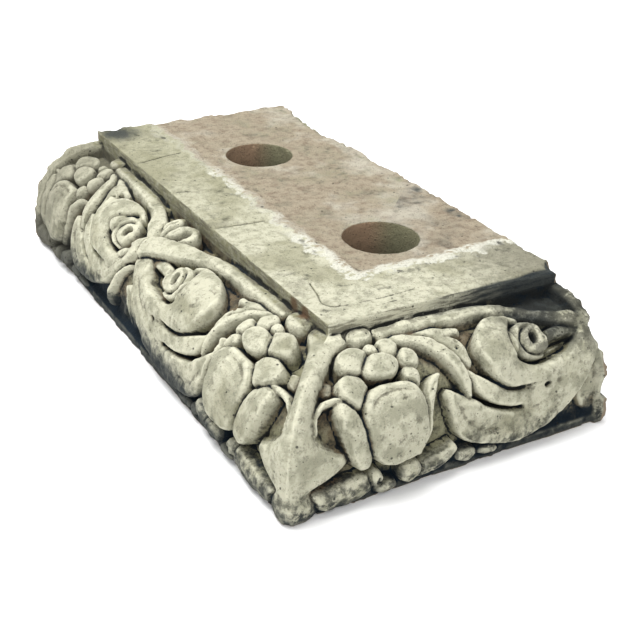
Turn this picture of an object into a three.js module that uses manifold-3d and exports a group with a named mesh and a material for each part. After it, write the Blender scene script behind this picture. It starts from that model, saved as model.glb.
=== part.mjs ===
import * as THREE from 'three';
import { mergeVertices } from 'three/addons/utils/BufferGeometryUtils.js';
import Module from 'manifold-3d';

const wasm = await Module();
wasm.setup();

// Block sizes in mm. X runs from the long carved face to the plain back.
// Y runs from the short carved face to the cut end.
const blockWidth = 217;
const blockLength = 410;
const blockHeight = 81;

// The raised bed on top stands back from both carved faces, and its fillet is the low wall round it.
const bedSetback = 54;
const filletHeight = 10;
const ovoloHeight = blockHeight - filletHeight;

// The ovolo is a superellipse that swells past the corner lines at its foot.
const ovoloSwell = 3;
const ovoloFullness = 2.6;
const arrisWear = 2.5;
const arrisSlope = 2.5;

// Carving is cut this deep under the ovolo, and the foot of each raised form is sunk a little deeper.
const carvingDepth = 9;
const sunk = 3;

// Round core holes through the bed, set a little off its centre.
const coreRadius = 25;
const coreSpacing = 169;
const coreShiftX = 9;
const coreShiftY = -6;

// One half repeat of the ornament runs from the corner stem to the crossing of two vines.
const halfRepeat = 217;

// The ornament is drawn flat, in mm: u along the face from the corner line, v up the curve from the foot.
const drawingLength = 217;
const drawingHeight = 105.7;

// A round-topped form falls away at its edges by its half width, but by no more than this.
// It is flatter on top than a circle.
const deepestShoulder = 4.5;
const shoulderFullness = 2.6;
const footDepth = -(carvingDepth + sunk);

// Points on the superellipse by the distance along it, from the foot to the fillet.
const profileSteps = 600;
const profile = [];
for (let i = 0, length = 0; i <= profileSteps; i++) {
  const angle = (Math.PI / 2) * (i / profileSteps);
  const power = 2 / ovoloFullness;
  const inset = bedSetback - (bedSetback + ovoloSwell) * Math.max(Math.cos(angle), 0) ** power;
  const z = ovoloHeight * Math.sin(angle) ** power;
  if (i > 0) length += Math.hypot(inset - profile[i - 1].inset, z - profile[i - 1].z);
  profile.push({ inset, z, length });
}
const arcLength = profile[profileSteps].length;

// The point at height v on the drawing and w in front of the ovolo, as its inset and its z.
function onOvolo(v, w) {
  const s = THREE.MathUtils.clamp(v / drawingHeight, 0, 1) * arcLength;
  let i = profile.findIndex((p) => p.length >= s);
  i = Math.max(i, 1);
  const a = profile[i - 1];
  const b = profile[i];
  const t = (s - a.length) / (b.length - a.length);
  const alongInset = (b.inset - a.inset) / (b.length - a.length);
  const alongZ = (b.z - a.z) / (b.length - a.length);
  const beyond = (v / drawingHeight) * arcLength - s;
  return {
    inset: THREE.MathUtils.lerp(a.inset, b.inset, t) - alongZ * w + alongInset * beyond,
    z: THREE.MathUtils.lerp(a.z, b.z, t) + alongInset * w + alongZ * beyond,
  };
}

// Each carved face turns a point of the drawing into a point of the block. A worn face ends rubbed down.
// On the long face the drawing was laid by hand, so its places are given as pairs of drawn and laid lengths.
const shortFace = {
  length: blockWidth,
  worn: true,
  fit: [[0, 0], [blockWidth, blockWidth]],
  point: (along, inset, z) => new THREE.Vector3(along, inset, z),
};
const longFace = {
  length: blockLength,
  worn: false,
  fit: [
    [0, 0], [24, 23], [49, 57], [88, 98], [104, 106], [127, 122],
    [140, 141], [152, 161], [170, 179], [200, 211], [217, 229], [240, 243],
    [264, 261], [308, 312], [330, 335], [365, 357], [385, 381], [blockLength, blockLength],
  ],
  point: (along, inset, z) => new THREE.Vector3(inset, along, z),
};

function laid(face, along) {
  const next = face.fit.findIndex(([drawn]) => drawn > along);
  const k = next < 0 ? face.fit.length - 1 : Math.max(next, 1);
  const [from, start] = face.fit[k - 1];
  const [to, end] = face.fit[k];
  return start + ((along - from) / (to - from)) * (end - start);
}

// Where a drawn point lies, for a copy of the drawing that starts at a place and runs to one side of it.
function placeFrom(start, side) {
  const stretch = halfRepeat / drawingLength;
  return (face, u, v, w) => {
    const { inset, z } = onOvolo(v, w);
    return face.point(laid(face, start + side * u * stretch), inset, z);
  };
}

function toManifold(geometry) {
  const bare = geometry.clone();
  bare.deleteAttribute('normal');
  bare.deleteAttribute('uv');
  const merged = mergeVertices(bare, 1e-4);
  const position = merged.attributes.position;
  const index = merged.index.array;
  let volume = 0;
  const corners = [new THREE.Vector3(), new THREE.Vector3(), new THREE.Vector3()];
  for (let i = 0; i < index.length; i += 3) {
    corners.forEach((corner, k) => corner.fromBufferAttribute(position, index[i + k]));
    volume += corners[0].dot(corners[1].cross(corners[2]));
  }
  const faces = new Uint32Array(index);
  if (volume < 0) {
    for (let i = 0; i < faces.length; i += 3) [faces[i], faces[i + 1]] = [faces[i + 1], faces[i]];
  }
  const vertices = new Float32Array(position.array);
  const mesh = new wasm.Mesh({ numProp: 3, vertProperties: vertices, triVerts: faces });
  return new wasm.Manifold(mesh);
}

// A closed solid through rings that all have the same number of points, with a flat cap at each end.
function loft(rings) {
  const sides = rings[0].length;
  const points = rings.flat();
  const faces = [];
  for (let r = 0; r + 1 < rings.length; r++) {
    for (let k = 0; k < sides; k++) {
      const next = (k + 1) % sides;
      const low = r * sides;
      const high = low + sides;
      faces.push(low + k, low + next, high + next, low + k, high + next, high + k);
    }
  }
  const last = (rings.length - 1) * sides;
  for (let k = 1; k + 1 < sides; k++) {
    faces.push(0, k + 1, k, last, last + k, last + k + 1);
  }
  const geometry = new THREE.BufferGeometry().setFromPoints(points);
  geometry.setIndex(faces);
  return toManifold(geometry);
}

// A smooth run through stations of [u, v, half width, height], as evenly spaced steps.
function smoothRun(stations, steps) {
  const smooth = (points) => new THREE.CatmullRomCurve3(points, false, 'catmullrom');
  const path = smooth(stations.map(([u, v, , w]) => new THREE.Vector3(u, v, w)));
  const widths = smooth(stations.map(([, , half]) => new THREE.Vector3(half, 0, 0)));
const run = [];
  for (let i = 0; i <= steps; i++) {
    const t = i / steps;
    const centre = path.getPoint(t);
    const tangent = path.getTangent(t);
    const slope = Math.hypot(tangent.x, tangent.y);
    const across = [-tangent.y / slope, tangent.x / slope];
    const half = Math.max(widths.getPoint(t).x, slimmest);
    run.push({ u: centre.x, v: centre.y, w: centre.z, half, across });
  }
  return run;
}

// How far a round-topped form has fallen at a share of its half width, from its centre (0) to its edge (1).
function shoulder(share, half) {
  const level = (1 - Math.abs(share) ** shoulderFullness) ** (1 / shoulderFullness);
  return Math.min(half, deepestShoulder) * (1 - level);
}

// How a lump rises to its top, and how a hollow opens from its floor.
const lumpLevel = 40;
const lumpTop = 0.36;
const berrySides = 6;
const hollowSides = 5;
const hollowFloor = 0.6;
const hollowThroat = 1 / 3;
const hollowFlare = 0.25;
const hollowTop = 12;

// Places across a raised stroke, as shares of its half width. A slim stroke needs fewer.
const slimmest = 0.6;
const slimHalf = 6.6;
const slimShares = [-1, 0, 1];
const broadShares = [-1, -0.62, 0, 0.62, 1];
const stride = 16;

// A raised stroke of the drawing, such as a stalk or a leaf, laid on a face.
function ribbon(face, stations, place) {
  const widest = Math.max(...stations.map(([, , half]) => half));
  const shares = widest < slimHalf ? slimShares : broadShares;
  const spans = stations.slice(1).map((s, i) => Math.hypot(s[0] - stations[i][0], s[1] - stations[i][1]));
  const length = spans.reduce((sum, span) => sum + span, 0);
  const steps = Math.max(stations.length - 1, Math.round(length / stride));
  const rings = smoothRun(stations, steps).map(({ u, v, w, half, across }) => {
    const ring = shares.map((share) => {
      const drawn = [u + across[0] * half * share, v + across[1] * half * share];
      return place(face, drawn[0], drawn[1], w - shoulder(share, half));
    });
    ring.push(place(face, u + across[0] * half, v + across[1] * half, footDepth));
    ring.push(place(face, u - across[0] * half, v - across[1] * half, footDepth));
    return ring;
  });
  return loft(rings);
}

// An outline round a place on a face, at one height. A fullness over 2 makes the oval squarer.
function oval(face, [u, v, halfU, halfV], shape, scale, height, place) {
  const { lean = 0, fullness = 2, taper = 0, sides } = shape;
  const tilt = THREE.MathUtils.degToRad(lean);
  const power = 2 / fullness;
  return Array.from({ length: sides }, (_, k) => {
    const angle = (k / sides) * 2 * Math.PI;
    const rise = Math.sign(Math.sin(angle)) * Math.abs(Math.sin(angle)) ** power * scale;
    const y = rise * halfV;
    const run = Math.sign(Math.cos(angle)) * Math.abs(Math.cos(angle)) ** power * scale;
    const x = run * halfU * (1 + taper * rise);
    const turnedX = x * Math.cos(tilt) - y * Math.sin(tilt);
    const turnedY = x * Math.sin(tilt) + y * Math.cos(tilt);
    return place(face, u + turnedX, v + turnedY, height);
  });
}

// A round-topped lump, such as a berry, from [u, v, half width, half height, height] and its shape.
function lump(face, [u, v, halfU, halfV, w], shape, place) {
  const fall = Math.min(halfU, halfV, deepestShoulder + halfU / 6);
  const fully = { sides: berrySides, ...shape };
  const at = (scale, height) => oval(face, [u, v, halfU, halfV], fully, scale, height, place);
  const rings = [at(1, footDepth)];
  for (const level of [0, lumpLevel]) {
    const angle = THREE.MathUtils.degToRad(level);
    const power = 2 / shoulderFullness;
    rings.push(at(Math.cos(angle) ** power, w - fall + fall * Math.sin(angle) ** power));
  }
  rings.push(at(lumpTop, w));
  return loft(rings);
}

// A hollow sunk into the carving, such as a scroll's eye, from [u, v, half width, half height, floor].
function hollow(face, [u, v, halfU, halfV, floor], shape, place) {
  const fully = { sides: hollowSides, ...shape };
  const at = (scale, height) => oval(face, [u, v, halfU, halfV], fully, scale, height, place);
  return loft([at(hollowFloor, floor), at(1, floor * hollowThroat), at(1 + hollowFlare, hollowTop)]);
}

// The seed pod: berries over two bulbs, each as its size and its shape.
const pod = [
  [[70, 102, 10, 9, 3], {}],
  [[55.5, 82.5, 10.5, 9.5, 4.5], { lean: 20 }],
  [[70, 88, 5, 5, 2], { sides: 5 }],
  [[80, 87, 7.5, 8, 2], {}],
  [[68.5, 74.5, 12, 8.8, 5.5], {}],
  [[88, 76, 6.5, 8, 2], { sides: 6 }],
  [[84.5, 64, 6, 8.5, 2], { sides: 6 }],
  [[48, 65, 9, 11, 3.5], { lean: 8, taper: 0.15 }],
  [[36, 74, 7, 7, -2], { sides: 5 }],
  [[68, 42.5, 19.5, 22.5, 6.5], { fullness: 3, taper: 0.1, sides: 8 }],
  [[42.5, 42, 7, 21.5, 3.5], { lean: 12, fullness: 2.5, sides: 8 }],
];

// The knobs in the root mass along the foot.
const roots = [
  [[53.5, 13.5, 5, 6, 1], { sides: 5 }],
  [[61, 5, 8, 4.5, 0], { sides: 5 }],
  [[76, 11.5, 7.5, 7.5, 2.5], { sides: 6 }],
];

// Raised strokes, each station as [u, v, half width, height].
const rootBand = [[12, 12, 5, -2], [22, 9, 7, 0], [34, 9, 8.5, 1], [46, 11, 7.5, 0], [53, 13, 5, -1]];
const rootTail = [[80, 9, 5.5, 0], [90, 11, 6.5, 1], [99, 14, 5.5, 1], [107, 18, 3, 0]];
const sheathLeaf = [
  [81, 19, 2.5, -1], [87.5, 31, 2.3, 0], [90, 43, 2.4, 1], [92.5, 52, 3.6, 2], [98, 59.5, 3.2, 1],
  [103.5, 62.5, 1, -1],
];
const archedStalk = [
  [82, 93, 3.5, -1], [101, 87.5, 4.5, 0], [108, 80, 4.8, 0.5], [113, 70, 4.8, 1], [116, 59, 4.2, 1],
  [117.8, 50, 3.2, 0], [118.5, 43, 2, -2],
];
const webLeaf = [[98, 96, 3, -2], [109, 92.5, 4, -1], [117, 88, 3.5, -1], [124, 87, 1.2, -3]];
const fillerLeaf = [[113, 87, 4, -2], [119, 77, 4, -2.5], [122.5, 67, 3, -3], [124, 60, 1.5, -4]];
const crescent = [
  [169, 81, 2, -2], [160, 84.5, 4.5, 0], [150, 79, 10.5, 3], [144.5, 68, 14, 5], [146, 54, 11, 4],
  [157, 47, 7.5, 2.5], [171, 45, 6.5, 2], [187, 46, 7.5, 1.5], [200, 52, 5, 0.5],
];
const upperLeaf = [
  [121.5, 59.5, 1.5, -2], [126, 51, 5, 0], [134, 43, 6.5, 2], [144, 37, 6, 2], [157, 34.5, 5, 2],
  [170, 36, 4, 1],
];
const bulbRim = [
  [21, 47, 1.5, -3], [23, 57, 2, -2], [30, 63, 2.5, -0.5], [38, 62.5, 2.5, 1], [45, 57.5, 2, 2],
];
const sweepBehind = [[184, 68, 5, -4], [198, 68, 6, -3], [212, 66, 5, -3]];
const plainStrokes = [
  rootBand, rootTail, sheathLeaf, archedStalk, webLeaf, fillerLeaf, crescent, upperLeaf, sweepBehind, bulbRim,
];

// The rolled middle of the scroll.
const scrollMiddle = [[[167, 66.5, 13, 13.5, 0.5], { sides: 8 }]];

// The eye of the scroll.
const eye = [[170.5, 67, 3.2, 3.2, -9], {}];

// At a crossing one vine passes over the other. At a worn end both are rubbed down.
const crossingHigh = 4;
const crossingLow = -3;
const crossingWorn = -2;
const wornDrop = 4;

// The vine along the top and the band along the foot, up to the crossing.
// Their last stations are placed back from it. A worn vine lies lower and is slimmer.
function topVine(end, worn) {
  const drop = worn ? wornDrop : 0;
  const slimmer = drop / 2;
  return [
    [80, 100, 6, 1], [102, 100.5, 6, 1], [125, 100, 6, 1],
    [drawingLength - 62, 97, 6, 1], [drawingLength - 45, 92 - slimmer, 6.5, 0],
    [drawingLength - 30, 86 - drop, 8 - slimmer, 1],
    [drawingLength - 16, 78.5 - drop, 8.5 - slimmer, (1 + end) / 2],
    [drawingLength - 8, 73.5 - drop, 8.5 - slimmer, end],
    [drawingLength + 3, 67 - slimmer, 8 - slimmer, end],
  ];
}

// A band that passes over the crossing is lifted and slimmer on its way up to it.
function footBand(end) {
  const lift = end > 0 ? 1 : 0;
  return [
    [105, 51, 2, -2], [110, 42, 7.5, 0], [115.5, 33.5, 11.5, 1], [123, 25.5, 12, 2],
    [drawingLength - 71, 18 + 7 * lift, 11 - 2 * lift, 2],
    [drawingLength - 56, 20 + 11 * lift, 11 - 2 * lift, 2],
    [drawingLength - 41, 27 + 14 * lift, 11.5 - 3 * lift, 2],
    [drawingLength - 28, 37 + 15 * lift, 11.5 - 3 * lift, 2],
    [drawingLength - 16, 50 + 11 * lift, 10 - lift, 1.5 + 2 * lift],
    [drawingLength - 7, 60 + 7 * lift, 8.5, 1 + 3 * lift],
    [drawingLength + 3, 69 + 3 * lift, 7 + lift, end],
  ];
}

// The ornament of one half repeat: its raised forms and the hollows in them.
function halfOrnament(face, n, ends) {
  const mirrored = n % 2 === 1;
  const place = mirrored ? placeFrom((n + 1) * halfRepeat, -1) : placeFrom(n * halfRepeat, 1);
  const strokes = [...plainStrokes, topVine(ends.top, ends.worn), footBand(ends.band)];
  return {
    raised: [
      ...strokes.map((stations) => ribbon(face, stations, place)),
      ...[...pod, ...roots, ...scrollMiddle].map(([size, shape]) => lump(face, size, shape, place)),
    ],
    cut: [hollow(face, eye[0], eye[1], place)],
  };
}

// Two curled leaf tips rise from each crossing, and a hollowed leaf with short flutes hangs below it.
const curl = [
  [-3, 80, 3, 0], [-5, 89, 4.5, 3], [-7, 97, 4, 3], [-13, 100, 4, 3], [-18, 95, 3.5, 2], [-17, 88, 2.8, 1],
  [-12, 86, 2, 0],
];
const curlEye = [[-12, 92.5, 2.6, 2.6, -6], {}];
const hangingLeaf = [[-2, 54, 3, -4], [5, 42, 9, -4.5], [14, 29, 13, -5], [22, 16, 11, -5.5]];
const hangingRim = [[5, 53, 2, -1], [17, 44, 3, 0], [27, 33, 3.4, 0.5], [34, 21, 3.2, 0], [38, 11, 1.5, -4]];
const flutes = [[-18, 14, 7, -5], [-12, 27, 10, -3], [-5, 42, 8, -1.5]];

function crossingOrnament(face, centre) {
  const near = placeFrom(centre, 1);
  const far = placeFrom(centre, -1);
  return {
    raised: [
      ribbon(face, curl, far),
      ...[curl, hangingLeaf, hangingRim, flutes].map((stations) => ribbon(face, stations, near)),
    ],
    cut: [near, far].map((place) => hollow(face, curlEye[0], curlEye[1], place)),
  };
}

// At a worn end the carving runs out in a rubbed ridge along the cut.
const wornRidge = [
  [216, -2, 6, -1.5], [216, 30, 6.5, -2], [216, 60, 8, -0.5], [216, 85, 6.5, -2], [216, 108, 6, -1],
];

// On the straight run of a face a plain stem stands between two pods.
const plainStem = [[0, -4, 34, 1], [0, 30, 32, 3], [0, 80, 32, 3], [0, 108, 32, 2.5]];

// The corner stem, as [v, half width from the mitre, height]. It has lobes at its foot and arms on top.
const stemStations = [
  [-2, 15, -1], [5, 19.5, 0], [10, 20, 0.5], [14, 16.5, 0], [18.5, 15, 0], [22, 26, 0], [29, 34, 1],
  [33, 31, 1.5],
  [38, 22, 3], [44, 14.5, 3.5], [51, 10.5, 3.5], [60, 8.5, 3.5], [72, 8, 3.5], [82, 9, 3], [91, 11, 3],
  [96, 15, 3], [100, 18, 2.5], [106, 16, 2.5],
];

// Shares of the stem's width, with the mitre at 0, and how far each stands under the stem's crest.
const stemShares = [[1, 5], [0.72, 1.2], [0.3, 0], [-0.3, 0], [-0.72, 1.2], [-1, 5]];

function cornerStem() {
  const around = (v, share, half, w) => {
    const { inset, z } = onOvolo(v, w);
    const side = inset + Math.abs(share) * half;
    return share > 0 ? new THREE.Vector3(side, inset, z) : new THREE.Vector3(inset, side, z);
  };
  const rings = stemStations.map(([v, half, w]) => {
    const ring = stemShares.map(([share, fall]) => around(v, share, half, w - fall));
    ring.push(around(v, -1, half, footDepth), around(v, 1, half, footDepth));
    return ring;
  });
  return loft(rings);
}

// A ring of the block's plan at one height, standing back from both carved faces by the inset.
function planRing(inset, z) {
  return [
    new THREE.Vector3(inset, inset, z),
    new THREE.Vector3(blockWidth, inset, z),
    new THREE.Vector3(blockWidth, blockLength, z),
    new THREE.Vector3(inset, blockLength, z),
  ];
}

// How far the sunk ground lies behind the ovolo at height v. It comes forward to a band along the foot.
const footBandHeight = 5;
const footBandDepth = 4;

// The body's rings lie closer together towards the foot.
const bodyLevels = 9;
const bodyCrowding = 1.4;

function groundDepth(v) {
  const t = THREE.MathUtils.smoothstep(v, footBandHeight, 2 * footBandHeight);
  return THREE.MathUtils.lerp(footBandDepth, carvingDepth, t);
}

// The plain body behind the carving: the sunk ground of both faces, and the raised bed over it.
function body() {
  const rings = [];
  for (let i = 0; i <= bodyLevels; i++) {
    const v = (i / bodyLevels) ** bodyCrowding * drawingHeight;
    const { inset, z } = onOvolo(v, -groundDepth(v));
    rings.push(planRing(inset, z));
  }
  rings.push(planRing(bedSetback, blockHeight));
  return loft(rings);
}

// The space that the finished block fills. Its lowest edge is worn back.
function trim() {
  const room = 30;
  return loft([
    planRing(arrisWear - ovoloSwell, 0),
    planRing(-ovoloSwell - 1, arrisWear * arrisSlope),
    planRing(-room, arrisWear * (arrisSlope + 1)),
    planRing(-room, blockHeight),
  ]);
}

// Broken edges, each as [x, y, z, half sizes]. They follow the back edge and the ends of the fillet.
const chips = [
  [blockWidth + 5, blockLength * 0.85, blockHeight + 2, 13, 58, 9],
  [blockWidth + 4, blockLength * 0.62, blockHeight + 3, 9, 30, 8],
  [blockWidth + 2, bedSetback + 2, blockHeight + 3, 12, 9, 9],
  [bedSetback - 3, blockLength * 0.41, blockHeight + 1, 5, 12, 5],
  [blockWidth + 5, 12, ovoloHeight - 14, 11, 12, 16],
];

const chipTurn = 0.3;

function chip([x, y, z, halfX, halfY, halfZ]) {
  const lumpy = new THREE.IcosahedronGeometry(1, 1);
  lumpy.scale(halfX, halfY, halfZ);
  lumpy.rotateY(chipTurn);
  lumpy.translate(x, y, z);
  return toManifold(lumpy);
}

function coreHole(side) {
  const past = 5;
  const sides = 32;
  const hole = new THREE.CylinderGeometry(coreRadius, coreRadius, blockHeight + 2 * past, sides);
  hole.rotateX(Math.PI / 2);
  const x = (bedSetback + blockWidth) / 2 + coreShiftX;
  const y = (bedSetback + blockLength) / 2 + coreShiftY + (side * coreSpacing) / 2;
  hole.translate(x, y, blockHeight / 2);
  return toManifold(hole);
}

function friezeBlock() {
  const raised = [body(), cornerStem()];
  const cut = [coreHole(-1), coreHole(1), ...chips.map(chip)];
  const keep = (ornament) => {
    raised.push(...ornament.raised);
    cut.push(...ornament.cut);
  };
  for (const face of [shortFace, longFace]) {
    const copies = Math.round(face.length / halfRepeat);
    for (let n = 0; n < copies; n++) {
      const nearOver = n % 2 === 0;
      const high = face.worn ? crossingWorn : crossingHigh;
      const low = face.worn ? crossingWorn - 1 : crossingLow;
      const [top, band] = nearOver ? [high, low] : [low, high];
      keep(halfOrnament(face, n, { top, band, worn: face.worn }));
    }
    if (face.worn) raised.push(ribbon(face, wornRidge, placeFrom(0, 1)));
    for (let n = 1; n <= copies; n++) {
      const centre = n * halfRepeat;
      if (n % 2 === 0) raised.push(ribbon(face, plainStem, placeFrom(centre, 1)));
      else if (!face.worn) keep(crossingOrnament(face, centre));
    }
  }
  const whole = wasm.Manifold.union(raised).subtract(wasm.Manifold.union(cut)).intersect(trim());
  const { vertProperties, triVerts } = whole.getMesh();
  const geometry = new THREE.BufferGeometry();
  geometry.setAttribute('position', new THREE.BufferAttribute(vertProperties, 3));
  geometry.setIndex(new THREE.BufferAttribute(triVerts, 1));
  geometry.computeVertexNormals();
  geometry.computeBoundingBox();
  return geometry;
}

const geometry = friezeBlock();
const material = new THREE.MeshStandardMaterial({ color: 0xa9a48a, roughness: 0.9, metalness: 0 });
const block = new THREE.Mesh(geometry, material);
block.name = 'frieze_block';

// The origin is the middle of the footprint, on the underside.
const centre = geometry.boundingBox.getCenter(new THREE.Vector3());
block.position.set(-centre.x, -centre.y, 0);

const brick = new THREE.Group();
brick.name = 'frieze_brick';
brick.add(block);

export default brick;
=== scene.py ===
import math

import bpy
import numpy as np
from mathutils import Matrix, Vector
from mathutils.bvhtree import BVHTree


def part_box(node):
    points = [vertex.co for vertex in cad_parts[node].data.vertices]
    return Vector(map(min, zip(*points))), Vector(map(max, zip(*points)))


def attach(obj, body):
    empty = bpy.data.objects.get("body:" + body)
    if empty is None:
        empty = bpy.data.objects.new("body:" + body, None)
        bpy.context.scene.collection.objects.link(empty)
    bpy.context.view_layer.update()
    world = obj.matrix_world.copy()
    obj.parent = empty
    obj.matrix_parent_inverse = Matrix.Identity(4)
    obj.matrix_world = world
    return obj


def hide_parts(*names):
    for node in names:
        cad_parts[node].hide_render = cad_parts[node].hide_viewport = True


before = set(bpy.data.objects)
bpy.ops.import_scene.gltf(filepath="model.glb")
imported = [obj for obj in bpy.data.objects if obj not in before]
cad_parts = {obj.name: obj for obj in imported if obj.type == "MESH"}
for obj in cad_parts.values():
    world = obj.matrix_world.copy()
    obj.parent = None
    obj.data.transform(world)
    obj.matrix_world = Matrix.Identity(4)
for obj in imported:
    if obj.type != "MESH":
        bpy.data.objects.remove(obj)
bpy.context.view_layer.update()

MM = 0.001

# Sizes of the block in mm. The two carved faces start at the corner lines,
# and every place is given from them.
BLOCK_WIDTH = 217.0
BLOCK_LENGTH = 410.0
BLOCK_HEIGHT = 81.0
BED_SETBACK = 54.0
FILLET_HEIGHT = 10.0
OVOLO_HEIGHT = BLOCK_HEIGHT - FILLET_HEIGHT
OVOLO_SWELL = 3.0
OVOLO_FULLNESS = 2.6
ARRIS_WEAR = 2.5
CARVING_DEPTH = 9.0
FOOT_BAND = 5.0
FOOT_BAND_DEPTH = 4.0
CORE_RADIUS = 25.0
CORE_SPACING = 169.0
CORE_SHIFT_X = 9.0
CORE_SHIFT_Y = -6.0
HALF_REPEAT = 217.0
DEEPEST_SHOULDER = 4.5
SHOULDER_FULLNESS = 2.6
FORM_CREASE = 2.0
WORN_DROP = 4.0
HAND_WOBBLE = 0.7
WOBBLE_SPACING = 14.0

# The model's grid. Each carved form is about ten cells across.
CELL = 0.8
MARGIN = 9.6
MOST_TRIANGLES = 190000

# The corner lines' meeting point, in the frame.
node_low, node_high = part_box("frieze_block")
corner_x = node_high.x / MM - BLOCK_WIDTH
corner_y = node_high.y / MM - BLOCK_LENGTH


def in_frame(x, y, z):
    """A place given in mm from the corner lines, in metres in the frame."""
    return Vector(((corner_x + x) * MM, (corner_y + y) * MM, z * MM))


def ovolo_profile(steps=600, fine_steps=4000):
    """Distances along the ovolo from its foot, at even steps, with the inset and the height at each."""
    angle = np.linspace(0, math.pi / 2, fine_steps + 1)
    power = 2 / OVOLO_FULLNESS
    inset = BED_SETBACK - (BED_SETBACK + OVOLO_SWELL) * np.clip(np.cos(angle), 0, 1) ** power
    z = OVOLO_HEIGHT * np.sin(angle) ** power
    run = np.concatenate([[0], np.cumsum(np.hypot(np.diff(inset), np.diff(z)))])
    even = np.linspace(0, run[-1], steps)
    return even, np.interp(even, run, inset), np.interp(even, run, z)


PROFILE_V, PROFILE_INSET, PROFILE_Z = ovolo_profile()
ARC = PROFILE_V[-1]


def unroll(insets, heights):
    """For each inset and z, the height v along the ovolo's curve and the distance w in front of it."""
    tail = 40.0
    v = np.concatenate([[-tail], PROFILE_V, [ARC + tail]])
    line_x = np.concatenate([[-OVOLO_SWELL], PROFILE_INSET, [BED_SETBACK + tail]])
    line_z = np.concatenate([[-tail], PROFILE_Z, [OVOLO_HEIGHT]])
    ax, az, bx, bz = line_x[:-1], line_z[:-1], line_x[1:], line_z[1:]
    dx, dz = bx - ax, bz - az
    size = dx ** 2 + dz ** 2
    px, pz = insets[:, None, None], heights[None, :, None]
    t = np.clip(((px - ax) * dx + (pz - az) * dz) / size, 0, 1)
    off_x, off_z = px - (ax + t * dx), pz - (az + t * dz)
    apart = np.hypot(off_x, off_z)
    best = apart.argmin(2)[..., None]
    chosen = best[..., 0]

    def at_best(values):
        return np.take_along_axis(values, best, 2)[..., 0]

    side = np.sign(at_best(off_z * dx - off_x * dz))
    steps = np.diff(v)
    return v[chosen] + at_best(t) * steps[chosen], at_best(apart) * np.where(side == 0, 1, side)


# Raised forms of the drawing, in mm. u runs along a face from the corner line, v up the curve
# and w out from the ovolo.
STEPS_PER_STATION = 8
STEPS_ACROSS = 14
THINNEST = 0.5


def smooth_run(stations, steps):
    """Catmull-Rom values through the stations, and the path's direction, at even steps."""
    p = np.array(stations, float)
    p = np.vstack([2 * p[0] - p[1], p, 2 * p[-1] - p[-2]])
    t = np.linspace(0, len(stations) - 1, steps + 1)
    k = np.minimum(t.astype(int), len(stations) - 2)
    f = (t - k)[:, None]
    a, b, c, d = p[k], p[k + 1], p[k + 2], p[k + 3]
    square = 2 * a - 5 * b + 4 * c - d
    cube = 3 * b - a - 3 * c + d
    value = 0.5 * (2 * b + (c - a) * f + square * f ** 2 + cube * f ** 3)
    slope = 0.5 * ((c - a) + 2 * square * f + 3 * cube * f ** 2)
    return value, slope[:, :2] / np.linalg.norm(slope[:, :2], axis=1)[:, None]


def grid_faces(rows, columns):
    """The quads of a sheet of points."""
    first = (np.arange(rows - 1)[:, None] * columns + np.arange(columns - 1)).ravel()
    return np.stack([first, first + 1, first + columns + 1, first + columns], 1)


def stroke(stations, hollow=0.0, shoulder=DEEPEST_SHOULDER):
    """A raised stroke through stations of (u, v, half width, height).

    A hollow one is dished along its middle.
    """
    value, way = smooth_run(stations, STEPS_PER_STATION * (len(stations) - 1))
    share = np.sin(np.linspace(-math.pi / 2, math.pi / 2, STEPS_ACROSS + 1))
    half = np.maximum(value[:, 2], THINNEST)
    u = value[:, 0, None] - way[:, 1, None] * half[:, None] * share
    v = value[:, 1, None] + way[:, 0, None] * half[:, None] * share
    level = np.clip(1 - np.abs(share) ** SHOULDER_FULLNESS, 0, 1) ** (1 / SHOULDER_FULLNESS)
    fall = np.minimum(half, shoulder)[:, None] * (1 - level)
    dish = hollow * np.minimum(1, half / 4)[:, None] * (1 - share ** 2) ** 0.7
    points = np.stack([u, v, value[:, 3, None] - fall - dish], 2).reshape(-1, 3)
    return points, grid_faces(*u.shape)


def lump(u, v, half_u, half_v, w, lean=0.0, fullness=2.0, taper=0.0, rise=20.0):
    """A round-topped lump, such as a berry.

    A fuller one has a squarer outline, and a tapered one is slim below.
    """
    around = np.linspace(0, 2 * math.pi, 41)
    level = np.linspace(0, math.pi / 2, 11)
    reach = np.clip(np.cos(level), 0, 1)[:, None] ** (2 / SHOULDER_FULLNESS)
    fall = min(half_u, half_v, DEEPEST_SHOULDER + half_u / 16, rise)
    power = 2 / fullness
    x = np.sign(np.cos(around)) * np.abs(np.cos(around)) ** power * half_u * reach
    y = np.sign(np.sin(around)) * np.abs(np.sin(around)) ** power * half_v * reach
    x = x * (1 + taper * y / half_v)
    tilt = math.radians(lean)
    z = np.broadcast_to((w - fall + fall * np.sin(level) ** (2 / SHOULDER_FULLNESS))[:, None], x.shape)
    pu = u + x * math.cos(tilt) - y * math.sin(tilt)
    pv = v + x * math.sin(tilt) + y * math.cos(tilt)
    return np.stack([pu, pv, z], 2).reshape(-1, 3), grid_faces(*x.shape)


# The seed pod: berries over two bulbs.
POD = [
    lump(70, 102.5, 10, 9, 3),
    lump(55.5, 82.5, 10.5, 9.5, 4.5, 20),
    lump(70, 88, 5, 5, 2),
    lump(80, 87, 7.5, 8, 2),
    lump(68.5, 74.5, 12, 8.8, 5.5),
    lump(88, 76, 6.5, 8, 2),
    lump(84.5, 64, 6, 8.5, 2),
    lump(48, 65, 9, 11, 3.5, 8, taper=0.15),
    lump(36, 73, 7, 7, -4.5),
    lump(68, 42.5, 19.5, 22.5, 6.5, 0, 3, taper=0.1),
    lump(42.5, 42, 7, 21.5, 3.5, 12, 2.5),
    stroke([(21, 47, 1.5, -3), (23, 57, 2, -2), (30, 63, 2.5, -0.5), (38, 62.5, 2.5, 1), (45, 57.5, 2, 2)]),
]
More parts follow.
